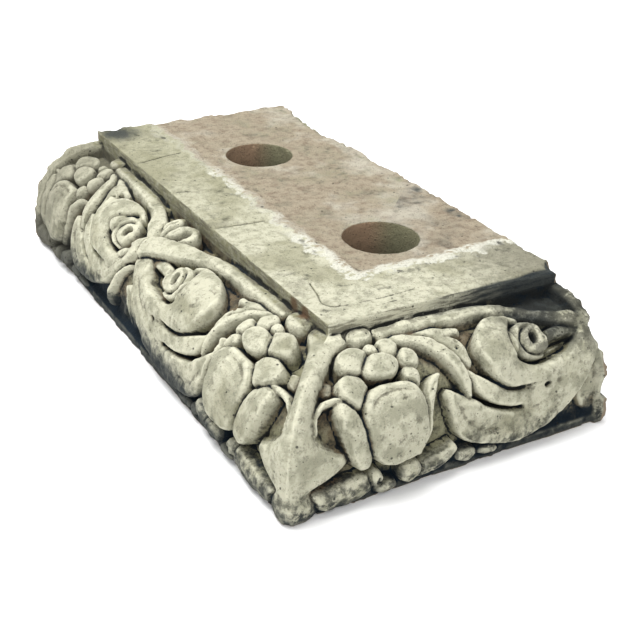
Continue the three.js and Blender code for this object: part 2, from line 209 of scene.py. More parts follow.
# The root mass along the foot.
ROOTS = [
    stroke([(12, 12, 5, -2), (22, 9, 7, 0), (34, 9, 8.5, 1), (46, 11, 7.5, 0), (53, 13, 5, -1)]),
    lump(53.5, 13.5, 5, 6, 1),
    lump(61, 5, 8, 4.5, 0),
    lump(76, 11.5, 7.5, 7.5, 2.5),
    stroke([(80, 9, 5.5, 0), (90, 11, 6.5, 1), (99, 14, 5.5, 1), (107, 18, 3, 0)]),
    lump(115, 8.5, 8, 4.5, -1),
    lump(130, 6.5, 8, 3.5, -1.5, -5),
]


def joined(forms):
    """Several forms as one, with no crease between them."""
    starts = np.cumsum([0] + [len(p) for p, _ in forms[:-1]])
    points = np.concatenate([p for p, _ in forms])
    return points, np.concatenate([f + start for (_, f), start in zip(forms, starts)])


# The leaves between the pod and the scroll.
LEAVES = [
    stroke([(81, 19, 2.5, -1), (87.5, 31, 2.3, 0), (90, 43, 2.4, 1), (92.5, 52, 3.6, 2), (98, 59.5, 3.2, 1),
            (103.5, 62.5, 1, -1)]),
    stroke([(82, 93, 3.5, -1), (92, 91, 4.2, 0), (101, 87.5, 4.5, 0), (108, 80, 4.8, 0.5), (113, 70, 4.8, 1),
            (116, 59, 4.2, 1), (117.8, 50, 3.2, 0), (118.5, 43, 2, -2)]),
    joined([
        stroke([(98, 96, 3, -2), (109, 92.5, 4, -1), (118, 89.5, 5, -1.5), (131, 88.5, 3, -2.5)]),
        stroke([(113, 87, 4, -2), (121, 79, 6, -2.2), (124, 68, 5, -2.8), (124, 59, 2, -4)]),
    ]),
]
# The scroll's outer crescent, its rolled middle and the leaf under it.
CRESCENT = stroke([(169, 81, 2, -2), (160, 84.5, 4.5, 0), (150, 79, 10.5, 3), (144.5, 68, 14, 5),
                   (146, 54, 11, 4), (157, 47, 7.5, 2.5), (171, 45, 6.5, 2), (187, 46, 7.5, 1.5),
                   (200, 52, 5, 0.5)])
SCROLL_MIDDLE = lump(167, 66.5, 14, 14, 0.5, rise=2.5)
UPPER_LEAF = stroke([(121.5, 59.5, 1.5, -2), (126, 51, 5, 0), (134, 43, 6.5, 2), (144, 37, 6, 2),
                     (157, 34.5, 5, 2), (170, 36, 4, 1)], hollow=1.5)
SWEEP = stroke([(184, 68, 5, -4), (198, 68, 6, -3), (212, 66, 5, -3)])
# The low ground between the upper vine and the fillet.
LEDGE = stroke([(72, 103, 6, -2), (100, 104.5, 6, -0.5), (130, 104.5, 6, -0.5), (150, 103, 6, -1.5),
                (165, 101, 5, -4)])
# At the short face's worn end, the rubbed ridge of the crossing and the stub of its hanging leaf.
WORN_RIDGE = stroke([(216, -2, 6, -1.5), (216, 30, 6.5, -2), (216, 60, 8, -0.5), (216, 85, 6.5, -2),
                     (216, 108, 6, -1)])
WORN_LEAF = stroke([(206, 47, 5, -3), (204, 34, 10, -1.5), (207, 20, 9, -2.5), (212, 9, 5, -4)], hollow=2)


def vines(top_end, band_end, worn):
    """The two vines of a half repeat and the scroll.

    The vines reach the crossing at the heights top_end and band_end.
    """
    drop = WORN_DROP if worn else 0
    slimmer = drop / 2
    top = [(80, 100, 6, 1), (102, 100.5, 6, 1), (125, 100, 6, 1), (155, 97, 6, 1),
           (172, 92 - slimmer, 6.5, -slimmer), (187, 86 - drop, 8 - slimmer, 1 - drop),
           (201, 78.5 - drop, 8.5 - slimmer, (1 + top_end) / 2), (209, 73.5 - drop, 8.5 - slimmer, top_end),
           (220, 67 - slimmer, 8 - slimmer, top_end)]
    lift = 1 if band_end > 0 else 0
    band = [(105, 51, 2, -2), (110, 42, 7.5, 0), (115.5, 33.5, 11.5, 1), (123, 25.5, 12, 2),
            (146, 18 + 7 * lift, 11 - 2 * lift, 2), (161, 20 + 11 * lift, 11 - 2 * lift, 2),
            (176, 27 + 14 * lift, 11.5 - 3 * lift, 2), (189, 37 + 15 * lift, 11.5 - 3 * lift, 2),
            (201, 50 + 11 * lift, 10 - lift, 1.5 + 2 * lift), (210, 60 + 7 * lift, 8.5, 1 + 3 * lift),
            (220, 69 + 3 * lift, 7 + lift, band_end)]
    low_run = [CRESCENT, SCROLL_MIDDLE, UPPER_LEAF, SWEEP, stroke(band, hollow=1.0)]
    made = [joined([stroke(top), LEDGE]), joined(low_run + [WORN_RIDGE] if worn else low_run)]
    return made + [WORN_LEAF] if worn else made


# The heights at which a vine passes over and under the other one, and that of a worn crossing.
OVER, UNDER, WORN = 4.0, -3.0, -2.0

# Round a crossing, counted from its middle.
CROSSING = [
    stroke([(-2, 54, 3, -3.5), (5, 42, 9, -3.5), (14, 29, 13, -4), (22, 16, 11, -5)],
           hollow=3, shoulder=1.5),
    stroke([(5, 53, 2, -1), (17, 44, 3, 0), (27, 33, 3.4, 0.5), (34, 21, 3.2, 0), (38, 11, 1.5, -4)]),
    stroke([(-18, 14, 7, -5), (-12, 27, 10, -3), (-5, 42, 8, -1.5)], shoulder=2.5),
]
CURL = [stroke([(-3, 80, 3, 0), (-5, 89, 4.5, 3), (-7, 97, 4, 3), (-13, 100, 4, 3), (-18, 95, 3.5, 2),
                (-17, 88, 2.8, 1), (-12, 86, 2, 0)])]

# On the straight run of a face a plain stem stands between two pods.
PLAIN_STEM = [stroke([(0, -4, 34, 1), (0, 30, 32, 3), (0, 80, 32, 3), (0, 108, 32, 2.5)])]

# Dished hollows, each as (u, v, half width, half height, depth, lean).
DISHES = [
    (170.5, 67.5, 3.4, 4.6, 8, -25),
    (181, 70, 5, 3.5, 1.5, 10),
    (166, 88.5, 8, 3, 2, -20),
    (123.5, 80, 1.4, 1.4, 2.5, 0),
    (121.5, 75, 1.2, 1.2, 2.5, 0),
    (55, 12, 1.6, 3, 4, 0),
    (137, 70, 7, 12, 1.2, 10),
]
CURL_DISHES = [(-12, 92.5, 2.8, 2.8, 6, 0)]

# Cut lines, each as its places (u, v), half width and depth.
GROOVES = [
    ([(53, 50), (55.5, 56), (62, 59), (72, 59.5), (81, 57.5)], 1.1, 1.4),
    ([(56, 52), (66, 54.5), (77, 54.5)], 1.0, 0.9),
    ([(122, 60.5), (129, 55), (137, 48), (144, 43), (152, 41.2), (168, 41.5)], 1.2, 4.5),
    ([(120, 50), (121, 45), (127, 38.5), (136, 33), (147, 29.5)], 0.9, 3.2),
    ([(108, 46), (112, 36), (118, 27), (128, 22), (141, 20)], 2.2, 1.4),
    ([(103, 44), (105, 34), (111, 24), (120, 17)], 0.7, 0.8),
    ([(168, 80), (160, 78), (154.5, 72), (153, 65), (156.5, 58), (163, 54), (173, 52), (190, 51.5)],
     1.1, 2.4),
    ([(174, 76), (166, 74), (161.5, 67.5), (163, 60.5), (169, 57), (177, 57), (184, 60)], 1.0, 3.2),
    ([(178, 57.5), (186, 60.5), (198, 62.5)], 1.3, 4.0),
    ([(184, 50), (192, 54), (200, 59)], 0.8, 1.6),
    ([(36, 30), (37, 42), (38, 52)], 1.6, 1.4),
    ([(88, 50), (95, 57), (101, 60)], 0.7, 1.0),
    ([(24, 8), (34, 6.5), (44, 8)], 1.0, 1.0),
    ([(84, 7), (92, 9), (101, 12)], 0.9, 1.2),
    ([(150, 26), (166, 29), (180, 38), (192, 50)], 1.6, 0.9),
    ([(132, 84), (128, 74), (127, 64)], 0.8, 1.5),
]
CROSSING_GROOVES = [
    ([(16, 62), (26, 52), (38, 42), (52, 33)], 1.2, 1.4),
    ([(-30, 20), (-20, 34), (-8, 48)], 1.0, 1.6),
    ([(-23, 15), (-15, 30), (-5, 46)], 0.9, 1.5),
    ([(-15, 12), (-9, 26), (-2, 44)], 0.9, 1.5),
    ([(-36, 34), (-24, 44), (-12, 53)], 1.2, 1.2),
]

# Where the drawing was fitted on the long face, as (drawn, laid) places along it.
LONG_FIT = [(0, 0), (24, 23), (49, 57), (88, 98), (104, 106), (127, 122), (140, 141), (152, 161), (170, 179),
            (200, 211), (217, 229), (240, 243), (264, 261), (308, 312), (330, 335), (365, 357), (385, 381),
            (410, 410), (460, 460)]

# The corner stem, as (v, half width from the mitre, height). It has two lobes at its foot and arms at its
# top. Its mitre is worn round from the foot up to the middle.
STEM = [(-2, 15, -1), (5, 19.5, 0), (10, 20, 0.5), (13, 17.5, 0), (15.5, 14, -0.5), (18.5, 15, 0),
        (21, 24, 0), (25, 32, 0), (29, 34, 1), (33, 31, 1.5), (38, 22, 3), (44, 14.5, 3.5), (51, 10.5, 3.5),
        (60, 8.5, 3.5), (72, 8, 3.5), (82, 9, 3), (91, 11, 3), (96, 15, 3), (100, 18, 2.5), (106, 16, 2.5)]
STEM_FALL = 5.0
STEM_OVERLAP = 0.2
MITRE_WEAR = 2.4
MITRE_REACH = 9.0
MITRE_WORN_BELOW = 40
MITRE_SHARP_ABOVE = 66


def stem_form():
    """Half of the corner stem. It starts a little behind the mitre, so that the halves meet."""
    value, _ = smooth_run(STEM, STEPS_PER_STATION * (len(STEM) - 1))
    share = np.sin(np.linspace(-STEM_OVERLAP, math.pi / 2, STEPS_ACROSS + 1))
    fall = STEM_FALL * (1 - np.sqrt(np.clip(1 - np.abs(share) ** 3, 0, 1)))
    across = value[:, 1, None] * share
    low = 1 - smoothstep(value[:, :1], MITRE_WORN_BELOW, MITRE_SHARP_ABOVE)
    worn_mitre = MITRE_WEAR * low * np.clip(1 - np.abs(across) / MITRE_REACH, 0, 1) ** 2
    along = np.broadcast_to(value[:, :1], across.shape)
    points = np.stack([across, along, value[:, 2, None] - fall - worn_mitre], 2)
    return points.reshape(-1, 3), grid_faces(*across.shape)


def moved(forms, start, side):
    """The forms with u counted from start, to one side of it."""
    made = []
    for points, faces in forms:
        there = points.copy()
        there[:, 0] = start + side * there[:, 0]
        made.append((there, faces))
    return made


def spread(a):
    """A light blur of a map."""
    for axis in (0, 1):
        a = (2 * a + np.roll(a, 1, axis) + np.roll(a, -1, axis)) / 4
    return a


def heights(forms, us, vs, ground, wobble=0.0):
    """The highest form over each point of the drawing, or the ground, with a crease round each form."""
    points, faces = joined(forms)
    owner = np.concatenate([np.full(len(f), k) for k, (_, f) in enumerate(forms)])
    tree = BVHTree.FromPolygons(points.tolist(), faces.tolist())
    out = np.tile(ground, (len(us), 1))
    label = np.full(out.shape, -1)
    off_u = wobble * noise(out.shape, WOBBLE_SPACING / CELL, 11)
    off_v = wobble * noise(out.shape, WOBBLE_SPACING / CELL, 12)
    down = Vector((0, 0, -1))
    sky = 50.0
    for i, u in enumerate(us):
        for j, v in enumerate(vs):
            hit, _, face, _ = tree.ray_cast(Vector((u + off_u[i, j], v + off_v[i, j], sky)), down)
            if hit is not None and hit.z > out[i, j]:
                out[i, j] = hit.z
                label[i, j] = owner[face]
    edge = np.zeros(out.shape)
    edge[1:] += label[1:] != label[:-1]
    edge[:, 1:] += label[:, 1:] != label[:, :-1]
    return out, np.minimum(1, 2 * spread(np.minimum(edge, 1)))


def blur(a, sigma, axes):
    """A soft blur by three box means along each of the axes. sigma is in cells."""
    reach = max(1, int(round(sigma)))
    for axis in axes:
        for _ in range(3):
            pad = [(0, 0)] * a.ndim
            pad[axis] = (reach + 1, reach)
            run = np.cumsum(np.pad(a, pad, mode="edge"), axis=axis)
            n = a.shape[axis]
            window = 2 * reach + 1
            a = (np.take(run, range(window, window + n), axis) - np.take(run, range(n), axis)) / window
    return a


def face_forms(length, worn_end):
    """All that is drawn on a face: its forms, dishes and grooves. A worn end is cut at a rubbed crossing."""
    forms, dishes, grooves = [], [], []

    def add(at, side, new_forms, new_dishes=(), new_grooves=()):
        forms.extend(moved(new_forms, at, side))
        for u, v, half_u, half_v, depth, lean in new_dishes:
            dishes.append((at + side * u, v, half_u, half_v, depth, side * lean))
        for line, half, depth in new_grooves:
            grooves.append(([(at + side * u, v) for u, v in line], half, depth))

    copies = round(length / HALF_REPEAT)
    for n in range(copies):
        mirrored = n % 2 == 1
        ends = (WORN, WORN - 1) if worn_end else ((UNDER, OVER) if mirrored else (OVER, UNDER))
        start, side = ((n + 1) * HALF_REPEAT, -1) if mirrored else (n * HALF_REPEAT, 1)
        add(start, side, POD + ROOTS + LEAVES + vines(*ends, worn_end), DISHES, GROOVES)
    for n in range(1, copies + 1):
        centre = n * HALF_REPEAT
        if n % 2 == 0:
            add(centre, 1, PLAIN_STEM)
        elif not worn_end:
            add(centre, 1, CROSSING + CURL, CURL_DISHES, CROSSING_GROOVES)
            add(centre, -1, CURL, CURL_DISHES)
    return forms, dishes, grooves


FAR_OFF = 100.0


def sink(drawn, us, vs, dishes, grooves):
    """Cuts the dishes and the grooves into a map of heights."""
    for u, v, half_u, half_v, depth, lean in dishes:
        tilt = math.radians(lean)
        du, dv = us[:, None] - u, vs[None, :] - v
        x = (du * math.cos(tilt) + dv * math.sin(tilt)) / half_u
        y = (dv * math.cos(tilt) - du * math.sin(tilt)) / half_v
        drawn -= depth * np.clip(1 - x ** 2 - y ** 2, 0, 1) ** 0.6
    for line, half, depth in grooves:
        path, _ = smooth_run([(u, v, 0, 0) for u, v in line], 10 * (len(line) - 1))
        near = np.full(drawn.shape, FAR_OFF)
        for k, (u, v) in enumerate(path[:, :2]):
            end = min(k, len(path) - 1 - k) / len(path)
            thinning = max(0, 1 - 6 * end) * half
            np.minimum(near, np.hypot(us[:, None] - u, vs[None, :] - v) + thinning, out=near)
        drawn -= depth * np.exp(-(near / half) ** 2)
    return drawn


def laid(drawing, fit):
    """A face's drawing with u moved from the drawn places to the laid ones."""
    drawn, placed = zip(*fit)
    forms, dishes, grooves = drawing

    def put(u):
        return np.interp(u, drawn, placed)

    return (
        [(np.column_stack([put(p[:, 0]), p[:, 1:]]), f) for p, f in forms],
        [(put(dish[0]), *dish[1:]) for dish in dishes],
        [([(put(u), v) for u, v in line], half, depth) for line, half, depth in grooves],
    )


def ground_height(vs):
    """The sunk ground of the carving. It comes forward to a band along the foot."""
    sunk = smoothstep(vs, FOOT_BAND, 2 * FOOT_BAND)
    return -FOOT_BAND_DEPTH + (FOOT_BAND_DEPTH - CARVING_DEPTH) * sunk


def noise(shape, spacing, seed):
    """Smooth random values from -1 to 1 over a grid, with features about spacing cells across."""
    rng = np.random.RandomState(seed)
    a = rng.uniform(-1, 1, [int(n / spacing) + 4 for n in shape]).astype(np.float32)
    for axis, n in enumerate(shape):
        t = np.arange(n) / spacing + 1
        k = t.astype(int)
        f = (t - k).astype(np.float32)
        fade = (f * f * (3 - 2 * f)).reshape([-1 if i == axis else 1 for i in range(a.ndim)])
        a = np.take(a, k, axis) * (1 - fade) + np.take(a, k + 1, axis) * fade
    return a


def grid_line(length):
    """The grid's places along a side of the block."""
    count = int(math.ceil((length + 2 * MARGIN) / CELL)) + 1
    return -MARGIN + CELL * np.arange(count)


def smoothstep(value, low, high):
    """A smooth rise from 0 to 1 while the value goes from low to high."""
    t = np.clip((value - low) / (high - low), 0, 1)
    return t * t * (3 - 2 * t)


# Broken edges, each as its middle and half sizes. They follow the back edge and the ends of the fillet.
CHIPS = [
    ((BLOCK_WIDTH + 5, 348, BLOCK_HEIGHT + 2), (13, 58, 9)),
    ((BLOCK_WIDTH + 4, 254, BLOCK_HEIGHT + 3), (9, 30, 8)),
    ((BLOCK_WIDTH + 2, BED_SETBACK + 2, BLOCK_HEIGHT + 3), (12, 9, 9)),
    ((BED_SETBACK - 3, 205, BLOCK_HEIGHT + 1), (5, 9, 5)),
    ((BLOCK_WIDTH + 5, 12, OVOLO_HEIGHT - 14), (11, 12, 16)),
    ((170, BED_SETBACK - 2, BLOCK_HEIGHT + 1.5), (22, 4.5, 4)),
    ((BLOCK_WIDTH + 2, -2, 24), (6, 10, 9)),
    ((BLOCK_WIDTH + 3, 300, BLOCK_HEIGHT + 1), (7, 9, 6)),
]

# Cut lines on the bed and the fillet's top, each as its places (x, y), half width and depth.
BED_LINES = [
    ([(54, 201), (66, 200), (78, 198.5), (90, 198)], 0.9, 1.6),
    ([(54, 333), (68, 335), (80, 338), (92, 339)], 0.9, 1.4),
    ([(71, 104), (68, 90), (65, 80), (68, 73), (77, 71)], 0.7, 1.3),
    ([(84, 70), (100, 69), (125, 70)], 0.6, 0.7),
    ([(54, 268), (64, 266), (72, 262)], 0.8, 1.0),
    ([(60, 62), (78, 61.5), (104, 62.5)], 0.6, 0.6),
]


# The mortar's crust, by its distance from the bed's edge: it rises, is full, thins and ends. The bed within
# it is worn lower, and the rim outside it too.
CRUST_RISES, CRUST_FULL, CRUST_THINS, CRUST_ENDS = 38, 44, 46, 54
CRUST_HEIGHT = 0.9
BED_WEAR = 0.5
BED_WORN_FROM = 56


def bed_heights(xs, ys):
    """The height of the bed over the plan. Its middle is dished a little, and mortar stands round it."""
    away = np.minimum(xs[:, None], ys[None, :]) - BED_SETBACK
    ragged = away + 5 * noise(away.shape, 12 / CELL, 41) + 2.5 * noise(away.shape, 4 / CELL, 42)
    crust = smoothstep(ragged, CRUST_RISES, CRUST_FULL) * (1 - smoothstep(ragged, CRUST_THINS, CRUST_ENDS))
    worn = BED_WEAR * smoothstep(ragged, CRUST_THINS, BED_WORN_FROM)
    top = BLOCK_HEIGHT - CRUST_HEIGHT + CRUST_HEIGHT * crust - worn
    top += 0.25 * noise(away.shape, 22 / CELL, 43)
    for line, half, depth in BED_LINES:
        path, _ = smooth_run([(a, b, 0, 0) for a, b in line], 24 * (len(line) - 1))
        near = np.full(away.shape, FAR_OFF)
        for a, b in path[:, :2]:
            np.minimum(near, np.hypot(xs[:, None] - a, ys[None, :] - b), out=near)
        top -= depth * np.exp(-(near / half) ** 2)
    return top


def hole_centres():
    """The places (x, y) of the core holes' axes."""
    hole_x = (BED_SETBACK + BLOCK_WIDTH) / 2 + CORE_SHIFT_X
    middle = (BED_SETBACK + BLOCK_LENGTH) / 2 + CORE_SHIFT_Y
    return [(hole_x, middle + side * CORE_SPACING / 2) for side in (-1, 1)]


# The drawing goes on below the foot and past the fillet's foot, so that the carving has no edge there.
BELOW_FOOT = 12
PAST_TOP = 6
STEM_REACH = 45
STEM_CREASE_WIDTH = 1.5
# Stand-ins for the inside of the block and for where there is no stem. No surface comes near them.
DEEP_INSIDE = -20.0
NO_STEM = -50.0
# Creases fade out over this stretch before the short face's worn end.
CREASES_END, CREASES_FULL = 8, 22


def drawn_face(us, vs, drawing, worn_end):
    """A face's map of heights, with its creases, dishes and grooves and the unevenness of handwork."""
    forms, dishes, grooves = drawing
    drawn, crease = heights(forms, us, vs, ground_height(vs), HAND_WOBBLE)
    if worn_end:
        crease *= smoothstep(-us, CREASES_END - BLOCK_WIDTH, CREASES_FULL - BLOCK_WIDTH)[:, None]
    drawn = sink(drawn - FORM_CREASE * crease, us, vs, dishes, grooves)
    drawn += 0.5 * noise(drawn.shape, 9 / CELL, 21) + 0.35 * noise(drawn.shape, 3.2 / CELL, 22)
    return drawn


def carve_face(field, v, w, vs, drawn, stem, long_face):
    """Lays a face's drawing over the ovolo, up to the mitre, with the corner stem standing over it."""
    for i, heights_there in enumerate(drawn):
        reach = min(i + (not long_face), len(w))
        relief = np.interp(v, vs, heights_there)[:reach]
        from_mitre = i - np.arange(reach)
        near = from_mitre < len(stem)
        stem_there = stem[from_mitre[near], np.arange(reach)[near]]
        crease = FORM_CREASE * np.exp(-((relief[near] - stem_there) / STEM_CREASE_WIDTH) ** 2)
        relief[near] = np.maximum(relief[near], stem_there) - crease
        if long_face:
            field[:reach, i] = w[:reach] - relief
        else:
            field[i, :reach] = w[:reach] - relief


def carved_field(xs, ys, zs):
    """The field of both carved faces, and the number of cells that it goes in from the corner lines."""
    deep = int((BED_SETBACK + MARGIN + PAST_TOP) / CELL)
    v, w = unroll(xs[:deep], zs)
    vs = np.arange(-BELOW_FOOT, ARC + PAST_TOP, CELL)
    from_mitre = CELL * np.arange(int(STEM_REACH / CELL)) + 0.01
    stem_rows, _ = heights([stem_form()], from_mitre, vs, np.full(len(vs), NO_STEM))
    stem = np.stack([np.interp(v, vs, row) for row in stem_rows])
    field = np.full((len(xs), len(ys), len(zs)), DEEP_INSIDE, np.float32)
    short_face = drawn_face(xs, vs, face_forms(BLOCK_WIDTH, True), True)
    long_face = drawn_face(ys, vs, laid(face_forms(BLOCK_LENGTH, False), LONG_FIT), False)
    carve_face(field, v, w, vs, short_face, stem, False)
    carve_face(field, v, w, vs, long_face, stem, True)
    return field, deep


# How steeply the worn foot rises, and how far the fillet's upper edges are worn back. The short face's edge
# is worn more towards its right end.
ARRIS_SLOPE = 2.5
LIP_WEAR = 1.2
LIP_WEAR_AT_END = 3.5
BED_EDGE_HEIGHT = 7
BED_EDGE_WIDTH = 3


def wear_edges(field, x, y, z, inset):
    """Rubs down the foot's arris and the upper edges of the fillet and of the back."""
    plan = field.shape[:2]
    foot = ARRIS_WEAR - OVOLO_SWELL
    ragged = 1.4 * noise(plan, 15 / CELL, 51) + 0.8 * noise(plan, 5 / CELL, 52)
    worn = (foot + ragged[:, :, None] - inset - z / ARRIS_SLOPE) / math.hypot(1, 1 / ARRIS_SLOPE)
    np.maximum(field, worn.astype(np.float32), out=field)
    wear = noise(plan, 16 / CELL, 31)[:, :, None]
    lip = LIP_WEAR + wear + LIP_WEAR_AT_END * smoothstep(x, 120, BLOCK_WIDTH)
    near_bed = np.minimum(z - BLOCK_HEIGHT + BED_EDGE_HEIGHT, inset - BED_SETBACK + BED_EDGE_WIDTH)
    for edge in (y - BED_SETBACK - lip, x - BED_SETBACK - 1.0 - wear, BLOCK_WIDTH - x - 2 - 2 * wear):
        bevel = np.minimum((z - BLOCK_HEIGHT - edge) / math.sqrt(2), near_bed)
        np.maximum(field, bevel.astype(np.float32), out=field)


def break_chips(field, x, y, z):
    for (cx, cy, cz), sizes in CHIPS:
        far = np.sqrt(((x - cx) / sizes[0]) ** 2 + ((y - cy) / sizes[1]) ** 2 + ((z - cz) / sizes[2]) ** 2)
        np.maximum(field, ((1 - far) * min(sizes)).astype(np.float32), out=field)


def block_field():
    """The grid's lines and the field over it.

    The field is negative inside the block, and near the surface it is about the distance to it in mm.
    """
    xs, ys = grid_line(BLOCK_WIDTH), grid_line(BLOCK_LENGTH)
    zs = -2 * CELL + CELL * np.arange(int((BLOCK_HEIGHT + 6) / CELL))
    x, y, z = xs[:, None, None], ys[None, :, None], zs[None, None, :]
    inset = np.minimum(x, y)
    field, deep = carved_field(xs, ys, zs)
    bed = np.maximum(BED_SETBACK - inset, z - bed_heights(xs, ys)[:, :, None])
    above = np.broadcast_to(inset > xs[deep - 1], field.shape)
    field = np.where(above, bed, np.minimum(field, bed)).astype(np.float32)
    wear_edges(field, x, y, z, inset)
    for side in (x - BLOCK_WIDTH, y - BLOCK_LENGTH, -z):
        np.maximum(field, side, out=field)
    for hole_x, hole_y in hole_centres():
        np.maximum(field, CORE_RADIUS - np.hypot(x - hole_x, y - hole_y), out=field)
    break_chips(field, x, y, z)
    cut_faces = np.maximum(smoothstep(x, 205, 216), smoothstep(y, 398, 409)).astype(np.float32)
    rough = 0.3 + 0.9 * cut_faces
    field += rough * noise(field.shape, 11 / CELL, 3) + 0.6 * rough * noise(field.shape, 3.5 / CELL, 4)
    np.maximum(field, -z, out=field)
    return xs, ys, zs, field


def surface_net(field):
    """Vertices, in cells, and quads of the surface where the field changes sign."""
    inside = field < 0
    count = np.zeros([n - 1 for n in field.shape], np.int8)
    corners = [(a, b, c) for a in (0, 1) for b in (0, 1) for c in (0, 1)]
    for offset in corners:
        count += inside[tuple(slice(o, o + n - 1) for o, n in zip(offset, inside.shape))]
    cells = np.argwhere((count > 0) & (count < 8))
    total = np.zeros((len(cells), 3))
    crossings = np.zeros(len(cells))
    flat = field.ravel()
    strides = np.array([field.shape[1] * field.shape[2], field.shape[2], 1])
    base = cells @ strides
    for a in corners:
        for axis in range(3):
            if a[axis]:
                continue
            b = tuple(o + (k == axis) for k, o in enumerate(a))
            fa, fb = flat[base + np.dot(a, strides)], flat[base + np.dot(b, strides)]
            cut = (fa < 0) != (fb < 0)
            t = fa[cut] / (fa[cut] - fb[cut])
            place = np.repeat(np.array(a, float)[None], len(t), 0)
            place[:, axis] += t
            total[cut] += place
            crossings[cut] += 1
    points = cells + total / crossings[:, None]
    index = np.full(count.shape, -1, np.int32)
    index[tuple(cells.T)] = np.arange(len(cells))
    quads = []
    for axis in range(3):
        lower = [slice(None)] * 3
        upper = [slice(None)] * 3
        lower[axis], upper[axis] = slice(0, -1), slice(1, None)
        change = inside[tuple(lower)].astype(np.int8) - inside[tuple(upper)]
        edges = np.argwhere(change)
        one, two = [k for k in range(3) if k != axis]
        edges = edges[(edges[:, one] > 0) & (edges[:, two] > 0)]
        edges = edges[(edges[:, one] < field.shape[one] - 1) & (edges[:, two] < field.shape[two] - 1)]
        step_one, step_two = np.eye(3, dtype=int)[one], np.eye(3, dtype=int)[two]
        around = [edges - step_one - step_two, edges - step_two, edges, edges - step_one]
        quad = np.stack([index[tuple(c.T)] for c in around], 1)
        outward = change[tuple(edges.T)] > 0
        if axis == 1:
            outward = ~outward
        quads.append(np.where(outward[:, None], quad, quad[:, ::-1]))
    return points, np.concatenate(quads)


def mesh_object(name, points, faces):
    mesh = bpy.data.meshes.new(name)
    mesh.vertices.add(len(points))
    mesh.vertices.foreach_set("co", points.astype(np.float32).ravel())
    mesh.loops.add(faces.size)
    mesh.loops.foreach_set("vertex_index", faces.astype(np.int32).ravel())
    mesh.polygons.add(len(faces))
    mesh.polygons.foreach_set("loop_start", np.arange(0, faces.size, faces.shape[1], dtype=np.int32))
    mesh.update(calc_edges=True)
    mesh.validate()
    made = bpy.data.objects.new(name, mesh)
    bpy.context.scene.collection.objects.link(made)
    return made


def crowding(field, reach):
    """How much of the space near each grid point is solid.

    It is over a half in hollows and under a half on edges.
    """
    return blur((field < 0).astype(np.float32), reach / CELL / 1.7, (0, 1, 2))


def sample(grid, points):
    """Values of a grid at points given in cells."""
    low = np.clip(np.floor(points).astype(int), 0, np.array(grid.shape) - 2)
    f = points - low
    out = np.zeros(len(points))
    for a in (0, 1):
        for b in (0, 1):
            for c in (0, 1):
                share = np.abs(1 - a - f[:, 0]) * np.abs(1 - b - f[:, 1]) * np.abs(1 - c - f[:, 2])
                out += share * grid[low[:, 0] + a, low[:, 1] + b, low[:, 2] + c]
    return out


def apply_decimate(ob, most):
    """Thins an object's mesh to about the given number of triangles, if it has more."""
    triangles = sum(len(p.vertices) - 2 for p in ob.data.polygons)
    if triangles <= most:
        return
    modifier = ob.modifiers.new("decimate", "DECIMATE")
    modifier.ratio = most / triangles
    graph = bpy.context.evaluated_depsgraph_get()
    thin = bpy.data.meshes.new_from_object(ob.evaluated_get(graph))
    ob.modifiers.clear()
    ob.data = thin


def store(ob, name, values):
    """Keeps a value for each vertex, for the material to read."""
    attribute = ob.data.attributes.new(name, "FLOAT", "POINT")
    attribute.data.foreach_set("value", values.astype(np.float32))


def carve_block():
    """The block as one mesh, with how hollow and how far out each vertex is."""
    xs, ys, zs, field = block_field()
    points, faces = surface_net(field)
    start = np.array([xs[0], ys[0], zs[0]])
    corner = np.array([corner_x, corner_y, 0])
    ob = mesh_object("carved_block", (start + points * CELL + corner) * MM, faces)
    apply_decimate(ob, MOST_TRIANGLES)
    for polygon in ob.data.polygons:
        polygon.use_smooth = True
    co = np.zeros(len(ob.data.vertices) * 3, np.float32)
    ob.data.vertices.foreach_get("co", co)
    in_cells = (co.reshape(-1, 3) / MM - corner - start) / CELL
    for name, reach in (("close_hollow", 2.5), ("wide_hollow", 8.0)):
        store(ob, name, sample(crowding(field, reach), in_cells))
    _, w = unroll(xs[:int((BED_SETBACK + MARGIN) / CELL)], zs)
    inset = np.minimum(in_cells[:, 0], in_cells[:, 1])
    place = np.column_stack([inset, in_cells[:, 2], np.zeros(len(inset))])
    store(ob, "standing", sample(np.repeat(w[:, :, None], 2, 2), place))
    return ob


